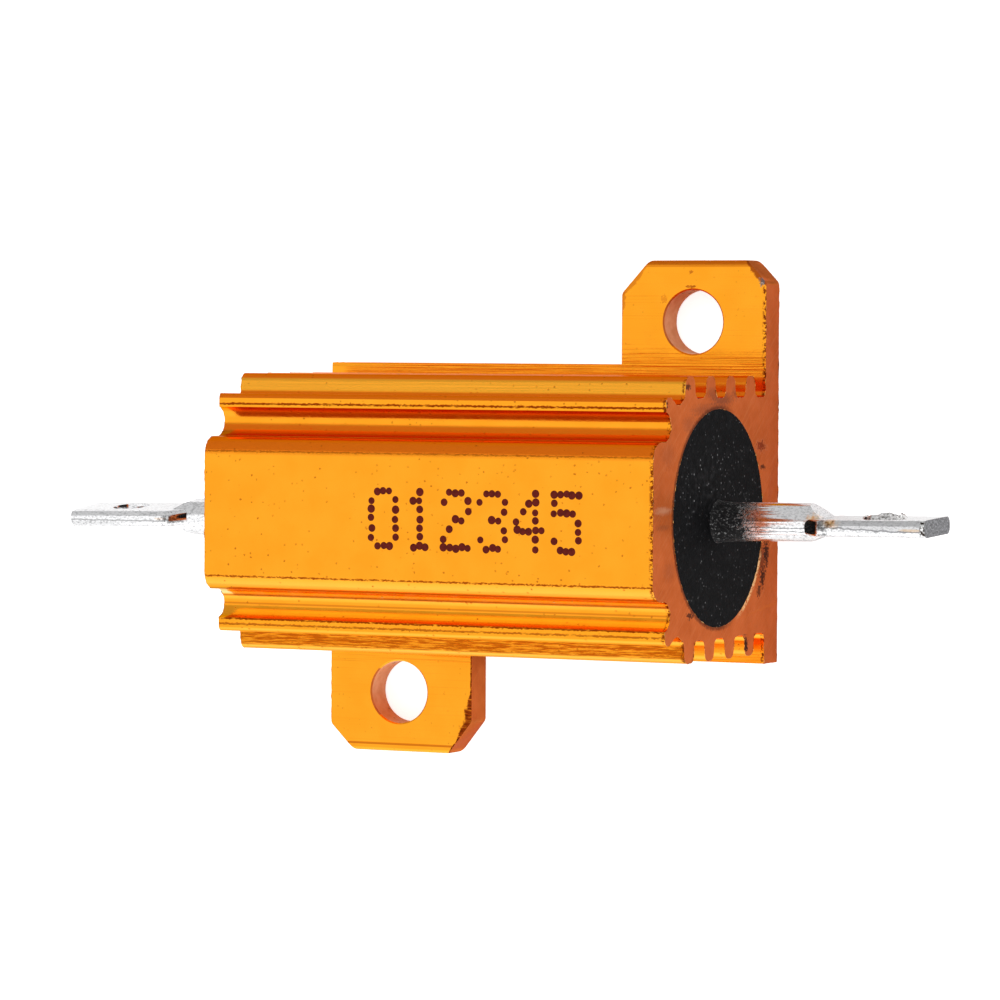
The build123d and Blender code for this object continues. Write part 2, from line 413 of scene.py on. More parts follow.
def as_piece(name, shape, finishes, slot, *nodes):
    """Makes a shape a piece of the part, in the place of its CAD nodes."""
    mesh = bpy.data.meshes.new(name)
    shape.to_mesh(mesh)
    shape.free()
    for finish in finishes:
        mesh.materials.append(finish)
    mesh.polygons.foreach_set("use_smooth", [True] * len(mesh.polygons))
    mesh.set_sharp_from_angle(angle=sharp_turn)
    piece = bpy.data.objects.new(name, mesh)
    bpy.context.scene.collection.objects.link(piece)
    piece.modifiers.new("even_shading", "WEIGHTED_NORMAL").keep_sharp = True
    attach(piece, "root")
    if nodes:
        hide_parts(*nodes)
    return piece


sharp_turn = radians(35)
tinned_pin, tree, shader, place = new_finish("tinned_pin", metallic=1.0)
reach = put(tree, "ShaderNodeSeparateXYZ", {0: place}).outputs
along = reach["X"]
scales = grain(tree, place, 0.1, detail=4.0, stretch=(1.8, 1, 1), roughness=0.65)
tin = ramp(tree, scales, (0.38, (0.56, 0.56, 0.57)), (0.48, (0.87, 0.87, 0.88)), (0.62, (0.97, 0.97, 0.98)))
pits = lay(tree, specks_group, place=place, spacing=0.45, size=0.06, share=0.35, ragged=0.8)
tin = blend(tree, work_out(tree, "MULTIPLY", pits, 0.8), tin, (0.16, 0.15, 0.14))

# The lugs' near edges carry a wavy dark line: on the right lug a painted dark reflection line with a painted shaded
# half over it, on the left lug a dark line.
on_lug_edge = work_out(tree, "GREATER_THAN", reach["Z"], 9.7)
wander = work_out(tree, "SUBTRACT", grain(tree, place, 0.35, detail=5.0, stretch=(1.5, 1, 1)), 0.5)
over_line = work_out(tree, "ADD", reach["Y"], work_out(tree, "MULTIPLY", along, 0.0325))
over_line = work_out(tree, "ADD", over_line, work_out(tree, "MULTIPLY", wander, 0.3))
over_line = work_out(tree, "SUBTRACT", over_line, 0.37)
on_right_lug = work_out(tree, "MULTIPLY", on_lug_edge, work_out(tree, "GREATER_THAN", along, 20.3))
# Painted shade: one side of the line on the right lug's near edge is greyed.
painted_shade_half = work_out(tree, "MULTIPLY", ease(tree, over_line, 0.0, 0.06, 0.0, 0.36), on_right_lug)
tin = blend(tree, painted_shade_half, tin, (0.3, 0.3, 0.31))
# A painted dark reflection line along the right lug's near edge.
dark_edge_line = ease(tree, work_out(tree, "ABSOLUTE", over_line), 0.02, 0.06, 0.8, 0.0)
tin = blend(tree, work_out(tree, "MULTIPLY", dark_edge_line, on_right_lug), tin, (0.2, 0.2, 0.21))
tan_streak = spot(tree, place, (25.7, -0.36, 9.9), (0.9, 0.1, 1.0), grain=0.2, ragged=0.8, edge=0.6)
tin = blend(tree, work_out(tree, "MULTIPLY", tan_streak, 0.6), tin, (0.72, 0.5, 0.3))
# A dark wavy line along the left lug's near edge.
dark_edge_line = lay(tree, ragged_line_group, place=place, line=(0, -0.82, 9.9), width=0.06, wander=0.14, grain=0.3)
on_left_lug = work_out(tree, "MULTIPLY", on_lug_edge, work_out(tree, "LESS_THAN", along, -13.7))
dark_edge_line = work_out(tree, "MULTIPLY", dark_edge_line, on_left_lug)
tin = blend(tree, work_out(tree, "MULTIPLY", dark_edge_line, 0.6), tin, (0.25, 0.25, 0.25))

# Three painted dark reflection lines run down the right pin. The copper shows where the tin is thin, and its patch
# is also a painted reflection of the orange end face.
painted_reflection_lines = 0.0
for y, z in ((-0.42, 9.05), (-0.62, 8.98), (-0.3, 9.6)):
    painted_reflection_line = lay(tree, ragged_line_group, place=place, line=(0, y, z), width=0.055, wander=0.2, grain=0.28)
    painted_reflection_lines = work_out(tree, "MAXIMUM", painted_reflection_lines, painted_reflection_line)
tin = blend(tree, work_out(tree, "MULTIPLY", painted_reflection_lines, 0.8), tin, (0.2, 0.2, 0.21))
# Partly copper under thin tin, partly a painted reflection of the orange end face.
copper_and_painted_reflection = spot(tree, place, (15.95, 0.3, 8.9), (0.8, 0.48, 1.2), grain=0.22, ragged=0.9, edge=0.8)
copper_net = ramp(tree, scales, (0.4, (0.46, 0.2, 0.13)), (0.5, (0.86, 0.56, 0.43)), (0.62, (0.96, 0.8, 0.72)))
tin = blend(tree, copper_and_painted_reflection, tin, copper_net)
flakes = grain(tree, place, 0.16, detail=5.0, roughness=0.7)
painted_orange_glint = ramp(tree, flakes, (0.42, (0.85, 0.38, 0.11)), (0.5, (1.0, 0.52, 0.18)), (0.6, (1.0, 0.8, 0.5)))
# Soot black, with painted grey glints at the ramp's pale end.
soot_and_painted_light = ramp(tree, flakes, (0.44, (0.008, 0.008, 0.008)), (0.52, (0.06, 0.06, 0.06)), (0.6, (0.35, 0.35, 0.35)))
# The first three rows are painted orange glints; the last two are the soot of the scorches.
scorches_and_painted_glints = (
    ((19.75, 0.14, 9.6), (0.62, 0.44, 1.5), 1.6, 1.0, painted_orange_glint, 1.0),
    ((20.95, -0.06, 9.8), (0.62, 0.34, 1.5), 1.6, 1.0, painted_orange_glint, 1.0),
    ((-20.6, -0.68, 9.8), (0.6, 0.1, 1.5), 2.6, 0.9, painted_orange_glint, 0.35),
    ((20.5, -0.26, 9.6), (0.72, 0.54, 2.2), 4.0, 0.8, soot_and_painted_light, 0.8),
    ((-19.9, -0.7, 9.6), (0.75, 0.24, 2.2), 4.0, 0.7, soot_and_painted_light, 0.75),
)
for centre, spread, raggedness, softness, colour, strength in scorches_and_painted_glints:
    tin_spot = spot(tree, place, centre, spread, grain=0.25, ragged=raggedness, edge=softness)
    tin = blend(tree, work_out(tree, "MULTIPLY", tin_spot, strength), tin, colour)

# The right pin's black is partly compound that thins out in crumbs and partly a painted reflection of the black
# compound beside it.
crumbs = work_out(tree, "SUBTRACT", 0.5, grain(tree, place, 0.13, detail=5.0, roughness=0.7))
compound_and_painted_reflection = ease(tree, along, 14.2, 17.2, 1.0, 0.0)
compound_and_painted_reflection = work_out(tree, "ADD", compound_and_painted_reflection, work_out(tree, "MULTIPLY", crumbs, 3.2))
compound_and_painted_reflection = work_out(tree, "MULTIPLY", ease(tree, compound_and_painted_reflection, 0.42, 0.62), work_out(tree, "GREATER_THAN", along, 0.0))
tin = blend(tree, compound_and_painted_reflection, tin, soot_and_painted_light)

# The shears left the lug's last fifth of a millimetre chipped, black beside white: chipped tin with the painted
# shade and highlight of a broken edge.
chipped_and_painted_edge_light = ramp(tree, flakes, (0.46, (0.03, 0.02, 0.015)), (0.51, (0.9, 0.9, 0.9)))
at_tip = work_out(tree, "MULTIPLY", ease(tree, along, 26.1, 26.26), on_lug_edge)
tin = blend(tree, at_tip, tin, chipped_and_painted_edge_light)
tree.links.new(tin, shader.inputs["Base Color"])
tree.links.new(ease(tree, compound_and_painted_reflection, 0.0, 1.0, 1.0, 0.2), shader.inputs["Metallic"])

# Past the pins' roots the tin is almost smooth, but for the scorched step up to the lug.
smoother = ease(tree, work_out(tree, "ABSOLUTE", along), 15.8, 16.8)
tree.links.new(ease(tree, smoother, 0.0, 1.0, 0.26, 0.12), shader.inputs["Roughness"])
height = work_out(tree, "SUBTRACT", scales, work_out(tree, "MULTIPLY", painted_reflection_lines, 0.8))
rough_step = spot(tree, place, (19.9, -0.25, 9.5), (1.1, 0.8, 2.2), grain=0.25, ragged=1.0, edge=0.9)
rough_share = work_out(tree, "MAXIMUM", ease(tree, smoother, 0.0, 1.0, 0.4, 0.06), rough_step)
relief(tree, shader, work_out(tree, "MULTIPLY", height, rough_share), 0.015)

sheared_tip, tree, shader, place = new_finish("sheared_tip", metallic=1.0)
torn = grain(tree, place, 0.14, detail=5.0, roughness=0.65)
bare_steel = ((0.35, (0.08, 0.08, 0.085)), (0.5, (0.22, 0.22, 0.23)), (0.68, (0.46, 0.46, 0.48)))
tree.links.new(ramp(tree, torn, *bare_steel), shader.inputs["Base Color"])
shader.inputs["Roughness"].default_value = 0.5
relief(tree, shader, torn, 0.03)

torn_tin, tree, shader, place = new_finish("torn_tin", metallic=1.0)
torn = grain(tree, place, 0.13, detail=5.0, roughness=0.65)
torn_colours = ((0.4, (0.2, 0.19, 0.18)), (0.47, (0.72, 0.71, 0.7)), (0.58, (0.97, 0.97, 0.97)))
tree.links.new(ramp(tree, torn, *torn_colours), shader.inputs["Base Color"])
shader.inputs["Roughness"].default_value = 0.25
relief(tree, shader, torn, 0.01)

rubbed_edge, tree, shader, place = new_finish("rubbed_edge", metallic=1.0)
rubbed = grain(tree, place, 0.2, detail=5.0, roughness=0.65)
rubbed_colours = ((0.44, (0.04, 0.025, 0.015)), (0.52, (0.26, 0.22, 0.18)), (0.6, (0.85, 0.82, 0.78)))
tree.links.new(ramp(tree, rubbed, *rubbed_colours), shader.inputs["Base Color"])
shader.inputs["Roughness"].default_value = 0.4
relief(tree, shader, rubbed, 0.02)

for side in ("left", "right"):
    low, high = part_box(f"terminal_{side}")
    tip = max(abs(low.x), abs(high.x))
    shape = merged(f"terminal_{side}")
    for face in shape.faces:
        face.material_index = int(abs(face.calc_center_median().x) > tip - 0.0001)
    for face in break_edges(shape, sharp_edges(shape), 0.00006):
        face.material_index = 2
    finishes = (tinned_pin, sheared_tip, rubbed_edge)
    as_piece(f"tinned_terminal_{side}", shape, finishes, "tinned_pin", f"terminal_{side}")

# The punch came up through the right lug and left a torn burr round the eyelet.
burr_profile = ((1.06, -0.1), (1.04, 0.1), (1.08, 0.19), (1.16, 0.12), (1.24, -0.04))
eyelet = next(mount for mount in frame["record"]["mounts"] if mount["name"] == "eyelet_right")
eyelet_axis = Vector(eyelet["axis"])
eyelet_rim = Vector(eyelet["pos_m"]) + eyelet_axis * eyelet["dims"]["length_mm"] / 2000
shape = bmesh.new()
points = [shape.verts.new((across / 1000, 0, rise / 1000)) for across, rise in burr_profile]
loop = [shape.edges.new((a, b)) for a, b in zip(points, points[1:] + points[:1])]
bmesh.ops.spin(
    shape,
    geom=points + loop,
    cent=(0, 0, 0),
    axis=(0, 0, 1),
    angle=2 * pi,
    steps=120,
    use_merge=True,
)
bmesh.ops.remove_doubles(shape, verts=shape.verts, dist=0.0000005)
bmesh.ops.recalc_face_normals(shape, faces=shape.faces)
for vert in shape.verts:
    if vert.co.z > 0:
        vert.co.z *= 0.75 + 0.9 * noise.noise(vert.co * 3000)
turn = eyelet_axis.to_track_quat("Z", "Y").to_matrix().to_4x4()
bmesh.ops.transform(shape, matrix=Matrix.Translation(eyelet_rim) @ turn, verts=shape.verts)
as_piece("eyelet_burr", shape, (torn_tin,), "tinned_pin")

# Potting compound: black filled cement, poured round the element and struck off flush with
# both ends. It has fine pale grit in it and climbs a little way up each pin.
black_compound, tree, shader, place = new_finish("black_compound")
fine_grit = lay(tree, specks_group, place=place, spacing=0.2, size=0.085, share=0.28, ragged=1.0)
# Painted glints: pale specks that stand in for shiny grains catching the light.
painted_glints = lay(tree, specks_group, place=place, spacing=0.5, size=0.1, share=0.24, ragged=1.4)
clusters = ease(tree, grain(tree, place, 0.8, detail=4.0), 0.42, 0.62)
upper_middle = spot(tree, place, (13.7, 1.6, 9.6), (2.0, 3.6, 5.0), grain=1.0, ragged=0.5, edge=0.8)
crowd = work_out(tree, "MAXIMUM", work_out(tree, "MULTIPLY", clusters, 0.5), upper_middle)
pin_shade = spot(tree, place, (13.7, -0.4, 10.0), (2.0, 1.9, 2.6), grain=1.0, ragged=0.4, edge=0.9)
crowd = work_out(tree, "MULTIPLY", crowd, work_out(tree, "SUBTRACT", 1.0, pin_shade))
fine_grit = work_out(tree, "MULTIPLY", fine_grit, work_out(tree, "ADD", crowd, 0.12))
fine_grit = work_out(tree, "MINIMUM", fine_grit, 1.0)
veil = work_out(tree, "MULTIPLY", crowd, ease(tree, grain(tree, place, 0.35, detail=5.0), 0.45, 0.7))
black = ramp(tree, grain(tree, place, 0.3, detail=5.0), (0.3, (0.002, 0.002, 0.0023)), (0.7, (0.006, 0.006, 0.007)))
black = blend(tree, work_out(tree, "MULTIPLY", veil, 0.2), black, (0.08, 0.08, 0.083))
black = blend(tree, work_out(tree, "MULTIPLY", fine_grit, 0.85), black, (0.42, 0.42, 0.43))
black = blend(tree, work_out(tree, "MULTIPLY", painted_glints, 0.8), black, (0.65, 0.65, 0.67))
tree.links.new(black, shader.inputs["Base Color"])
shader.inputs["Roughness"].default_value = 0.75
shader.inputs["Specular IOR Level"].default_value = 0.06
relief(tree, shader, grain(tree, place, 0.12, detail=5.0), 0.04)
dress("potting_compound", black_compound)

# Wet compound: black smears, with painted grey glints at the ramp's pale end.
wet_compound, tree, shader, place = new_finish("wet_compound")
smear = grain(tree, place, 0.12, detail=6.0, roughness=0.65)
smear_and_painted_glint_colours = ((0.48, (0.004, 0.004, 0.0045)), (0.58, (0.03, 0.03, 0.03)), (0.66, (0.35, 0.35, 0.35)))
tree.links.new(ramp(tree, smear, *smear_and_painted_glint_colours), shader.inputs["Base Color"])
tree.links.new(ease(tree, smear, 0.3, 0.7, 0.35, 0.6), shader.inputs["Roughness"])
shader.inputs["Specular IOR Level"].default_value = 0.25
relief(tree, shader, smear, 0.06)

pin_radius = 0.00105
pin_axis = Vector((0, -0.00034, 0.00805))
pin_lean = radians(0.7)
body_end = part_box("housing")[1].x
collar_profile = ((0.0, 0.00016), (0.00007, 0.0001), (0.0002, 0.00006), (0.0006, 0.00004), (0.0012, 0.00001))


def collar(side, sign, reach):
    """Compound that has climbed up a pin: a ring of thin profile spun round the pin's axis."""
    shape = bmesh.new()
    start = body_end - 0.00003
    rings = [(start + along * reach, pin_radius + rise) for along, rise in collar_profile]
    rings.append((start + collar_profile[-1][0] * reach * 1.25, pin_radius - 0.00002))
    rings.append((start, pin_radius - 0.00002))
    points = [shape.verts.new((x, 0, r)) for x, r in rings]
    loop = [shape.edges.new((a, b)) for a, b in zip(points, points[1:] + points[:1])]
    bmesh.ops.spin(
        shape,
        geom=points + loop,
        cent=(0, 0, 0),
        axis=(1, 0, 0),
        angle=2 * pi,
        steps=72,
        use_merge=True,
    )
    bmesh.ops.remove_doubles(shape, verts=shape.verts, dist=0.0000005)
    bmesh.ops.recalc_face_normals(shape, faces=shape.faces)
    for vert in shape.verts:
        share = (vert.co.x - start) / (collar_profile[-1][0] * reach)
        vert.co.x += 0.00035 * share * noise.noise(vert.co * 1600)
        vert.co.yz *= 1 + 0.05 * noise.noise(vert.co * 2500 + Vector((7, 0, 0)))
    if sign < 0:
        bmesh.ops.scale(shape, vec=(-1, 1, 1), verts=shape.verts)
        bmesh.ops.recalc_face_normals(shape, faces=shape.faces)
    bmesh.ops.rotate(shape, cent=(0, 0, 0), matrix=Matrix.Rotation(pin_lean, 3, "Z"), verts=shape.verts)
    bmesh.ops.translate(shape, vec=pin_axis, verts=shape.verts)
    as_piece(f"compound_collar_{side}", shape, (wet_compound,), "black_compound")


collar("right", 1, 1.35)
collar("left", -1, 0.6)

# Housing: one aluminium extrusion, sawn to length, milled back to two ears, drilled and then
# anodised gold. Sawn faces take the dye darker, and their edges are torn to a bright burr.
extruded_gold, tree, shader, place = new_finish("extruded_gold", metallic=1.0)
folded = put(tree, "ShaderNodeVectorMath", {0: place}, operation="ABSOLUTE").outputs[0]
parts = put(tree, "ShaderNodeSeparateXYZ", {0: folded}).outputs
off_top = ease(tree, parts["Y"], 3.2, 3.6)
near_trunk = ease(tree, parts["Y"], 8.6, 9.4, 1.0, 0.3)
die_lines = grain(tree, place, 0.1, detail=3.0, stretch=(90, 1, 1))
on_ledge = ease(tree, parts["Y"], 7.7, 7.9, 0.1, 1.0)
line_share = work_out(tree, "MULTIPLY", work_out(tree, "MULTIPLY", off_top, near_trunk), on_ledge)
line_share = work_out(tree, "ADD", work_out(tree, "MULTIPLY", line_share, 0.85), 0.1)
lines = work_out(tree, "MULTIPLY", work_out(tree, "SUBTRACT", die_lines, 0.5), line_share)
gold = ramp(tree, grain(tree, place, 1.6), (0.35, (0.95, 0.345, 0.016)), (0.65, (1.0, 0.375, 0.02)))

# Painted shade and light by facing: slopes facing +Y on the upper flank are painted deeper, slopes facing -Y on the
# lower flank paler, and the grooves' walls get painted bands too.
faces = put(tree, "ShaderNodeSeparateXYZ", {0: put(tree, "ShaderNodeTexCoord").outputs["Normal"]}).outputs["Y"]
sides = put(tree, "ShaderNodeSeparateXYZ", {0: place}).outputs
on_upper_side = ease(tree, sides["Y"], -1.0, 1.0)
painted_shade_flank = work_out(tree, "MULTIPLY", ease(tree, faces, 0.03, 0.3), on_upper_side)
gold = blend(tree, painted_shade_flank, gold, (0.96, 0.2, 0.009))
on_lower_side = work_out(tree, "SUBTRACT", 1.0, on_upper_side)
painted_light_flank = work_out(tree, "MULTIPLY", ease(tree, faces, -0.65, -0.1, 1.0, 0.0), on_lower_side)
gold = blend(tree, painted_light_flank, gold, (1.0, 0.43, 0.05))
# Painted highlight and shade bands across the flank: one pale band and three darker ones.
painted_light_bands = (
    (-4.6, -4.45, -4.2, -4.1, (1.0, 0.82, 0.36)),
    (4.2, 4.3, 4.5, 4.62, (0.64, 0.16, 0.008)),
    (5.25, 5.35, 5.8, 5.9, (0.98, 0.33, 0.02)),
    (6.72, 6.85, 7.4, 7.52, (1.0, 0.42, 0.032)),
)
for start, full, fading, finish, colour in painted_light_bands:
    painted_band = ease(tree, sides["Y"], start, full)
    painted_band = work_out(tree, "MULTIPLY", painted_band, ease(tree, sides["Y"], fading, finish, 1.0, 0.0))
    painted_band = work_out(tree, "MULTIPLY", painted_band, ease(tree, sides["Z"], 11.5, 11.8))
    gold = blend(tree, painted_band, gold, colour)
# Painted dark lines of shade along the edges of these bands.
for y, strength in ((4.24, 0.8), (-4.18, 0.75), (-4.62, 0.7), (-5.07, 0.55)):
    off_line = work_out(tree, "ABSOLUTE", work_out(tree, "SUBTRACT", sides["Y"], y))
    drawn = work_out(tree, "MULTIPLY", ease(tree, off_line, 0.02, 0.08, 1.0, 0.0), strength)
    gold = blend(tree, drawn, gold, (0.5, 0.1, 0.005))
dark_lines = ease(tree, lines, -0.12, -0.02, 1.0, 0.0)
gold = blend(tree, work_out(tree, "MULTIPLY", dark_lines, 0.3), gold, (0.62, 0.16, 0.006))

# Ragged lines where the die dragged, and one ledge that it left rough from end to end.
ragged_places = (
    ((3.46, 16.5), 0.5),
    ((-3.46, 16.5), 0.9),
    ((6.05, 14.95), 1.0),
    ((-5.9, 14.95), 1.0),
    ((-6.2, 14.95), 0.7),
    ((7.15, 12.9), 0.5),
)
ragged_masks = 0.0
for (y, z), strength in ragged_places:
    drawn = lay(tree, ragged_line_group, place=place, line=(0, y, z), width=0.07, wander=0.18, grain=0.13)
    ragged_masks = work_out(tree, "MAXIMUM", ragged_masks, work_out(tree, "MULTIPLY", drawn, strength))
breaks = ease(tree, grain(tree, place, 0.25, detail=5.0, stretch=(2, 1, 1), roughness=0.65), 0.32, 0.5)
ragged_masks = work_out(tree, "MULTIPLY", ragged_masks, breaks)
gold = blend(tree, ragged_masks, gold, (0.28, 0.035, 0.001))
ledge = work_out(tree, "MULTIPLY", ease(tree, sides["Y"], -7.55, -7.4), ease(tree, sides["Y"], -6.8, -6.7, 1.0, 0.0))
ledge = work_out(tree, "MULTIPLY", ledge, ease(tree, sides["Z"], 11.5, 11.8))
dragged = grain(tree, place, 0.075, detail=5.0, stretch=(16, 1, 1), roughness=0.7)
ledge = work_out(tree, "MULTIPLY", ledge, ease(tree, dragged, 0.4, 0.58, 1.0, 0.2))
gold = blend(tree, ledge, gold, (0.5, 0.1, 0.003))
# A painted highlight along the foot of the rough ledge.
painted_highlight_foot = work_out(tree, "MULTIPLY", ease(tree, sides["Y"], -7.6, -7.5, 0.8, 0.0), ease(tree, sides["Z"], 11.5, 11.8))
gold = blend(tree, painted_highlight_foot, gold, (1.0, 0.5, 0.085))
# A painted highlight along the upper flank's edge.
painted_edge_glint = work_out(tree, "MULTIPLY", ease(tree, sides["Y"], 7.72, 7.8), ease(tree, sides["Z"], 10.0, 10.5))
gold = blend(tree, work_out(tree, "MULTIPLY", painted_edge_glint, 0.9), gold, (1.0, 0.88, 0.78))

# The saw cut at the right end tore the skin beside it.
near_end = ease(tree, sides["X"], 13.42, 13.6)
flecks = ease(tree, grain(tree, place, 0.16, detail=5.0, roughness=0.7), 0.48, 0.54)
off_fins = work_out(tree, "MAXIMUM", ease(tree, sides["Z"], 1.9, 2.1, 1.0, 0.0), ease(tree, sides["Z"], 11.2, 11.4))
near_end = work_out(tree, "MULTIPLY", near_end, off_fins)
gold = blend(tree, work_out(tree, "MULTIPLY", near_end, flecks), gold, (0.2, 0.03, 0.003))
pits = lay(tree, specks_group, place=place, spacing=0.36, size=0.075, share=0.45, ragged=1.6)
pits = work_out(tree, "MULTIPLY", pits, ease(tree, sides["Z"], 3.0, 4.0, 0.4, 1.0))
patches = ease(tree, grain(tree, place, 2.2), 0.4, 0.6, 0.25, 0.75)
gold = blend(tree, work_out(tree, "MULTIPLY", pits, patches), gold, (0.45, 0.1, 0.005))

# Handling has marked the two ears: rolled edges, with painted shade along the roll, a torn strip, bruises and small
# nicks. The ear tips carry a painted reflection band and a painted dark line.
# A painted reflection band along the upper ear's tip, and a painted dark line along the lower ear's tip.
painted_reflection_band = ease(tree, parts["Y"], 13.74, 13.8)
gold = blend(tree, work_out(tree, "MULTIPLY", painted_reflection_band, ease(tree, sides["Y"], -1, 1, 0.0, 0.55)), gold, (0.55, 0.13, 0.005))
painted_dark_tip_line = ease(tree, work_out(tree, "ABSOLUTE", work_out(tree, "ADD", sides["Y"], 13.72)), 0.03, 0.09, 0.75, 0.0)
gold = blend(tree, painted_dark_tip_line, gold, (0.5, 0.1, 0.004))


def inside_edge(tree, sides, start, finish):
    """How far a place lies to the left of a line across an ear, in millimetres."""
    length = ((finish[0] - start[0]) ** 2 + (finish[1] - start[1]) ** 2) ** 0.5
    lean = ((start[1] - finish[1]) / length, (finish[0] - start[0]) / length)
    across = work_out(tree, "MULTIPLY", work_out(tree, "SUBTRACT", sides["X"], start[0]), lean[0])
    up = work_out(tree, "MULTIPLY", work_out(tree, "SUBTRACT", sides["Y"], start[1]), lean[1])
    return work_out(tree, "ADD", across, up)


ripple = work_out(tree, "SUBTRACT", grain(tree, place, 0.3, detail=6.0, roughness=0.65), 0.5)
torn_red = ramp(tree, dragged, (0.4, (0.07, 0.008, 0.001)), (0.55, (0.3, 0.04, 0.003)), (0.64, (0.9, 0.3, 0.02)))
dark_brown = (0.3, 0.05, 0.006)
soft_brown = (0.5, 0.12, 0.01)
ear_edges = (
    ((-4.55, -12.25), (-4.55, -8.0), 11.9, 1.5, 0.5, 0.1, torn_red, 1.0),
    ((-6.05, -14.15), (-4.55, -12.25), 12.3, 1.2, 0.45, 0.08, torn_red, 1.0),
    ((13.7, 12.9), (12.5, 14.15), 13.3, 0.9, 0.26, 0.1, dark_brown, 0.9),
    # The next two rows are the upper ear's rolled left edge: a rolled burr with painted shade along the roll.
    ((4.85, 12.3), (4.85, 9.0), 12.0, 1.2, 0.26, 0.02, soft_brown, 0.6),
    ((6.55, 14.15), (4.85, 12.3), 12.9, 1.4, 0.3, 0.02, soft_brown, 0.6),
)
for start, finish, middle, spread, widest, least, colour, strength in ear_edges:
    off_middle = work_out(tree, "ABSOLUTE", work_out(tree, "SUBTRACT", parts["Y"], middle))
    width = ease(tree, off_middle, 0.0, spread, widest, least)
    inside = work_out(tree, "DIVIDE", inside_edge(tree, sides, start, finish), width)
    inside = work_out(tree, "ADD", inside, work_out(tree, "MULTIPLY", ripple, 1.6))
    on_side = work_out(tree, "MULTIPLY", sides["Y"], 1 if start[1] > 0 else -1)
    on_ear = work_out(tree, "GREATER_THAN", on_side, middle - spread - 2.0)
    torn = work_out(tree, "MULTIPLY", ease(tree, inside, 0.6, 1.1, strength, 0.0), on_ear)
    gold = blend(tree, torn, gold, colour)
chip_grey = ramp(tree, ripple, (0.0, (0.12, 0.1, 0.1)), (0.05, (0.55, 0.5, 0.5)))
ear_marks = (
    ((13.45, 12.98, 1.8), (0.2, 0.3, 0.4), chip_grey, 0.9),
    ((7.45, 11.98, 1.8), (0.22, 0.3, 0.4), soft_brown, 0.4),
    ((9.11, 12.68, 1.8), (0.34, 0.1, 0.4), dark_brown, 0.8),
    ((9.1, 13.49, 1.8), (0.14, 0.12, 0.4), dark_brown, 0.6),
)
for centre, spread, colour, strength in ear_marks:
    bruise = spot(tree, place, centre, spread, grain=0.14, ragged=2.2, edge=0.5)
    gold = blend(tree, work_out(tree, "MULTIPLY", bruise, strength), gold, colour)
tree.links.new(gold, shader.inputs["Base Color"])
shader.inputs["Specular Tint"].default_value = (1.0, 0.6, 0.3, 1)
tree.links.new(ease(tree, grain(tree, place, 0.8), 0.3, 0.7, 0.16, 0.24), shader.inputs["Roughness"])
height = work_out(tree, "SUBTRACT", lines, work_out(tree, "MULTIPLY", pits, 0.4))
height = work_out(tree, "SUBTRACT", height, work_out(tree, "MULTIPLY", ragged_masks, 0.8))
height = work_out(tree, "SUBTRACT", height, work_out(tree, "MULTIPLY", ledge, 0.8))
fine_grain = work_out(tree, "MULTIPLY", grain(tree, place, 0.08, detail=2.0), 0.12)
relief(tree, shader, work_out(tree, "ADD", height, fine_grain), 0.02)

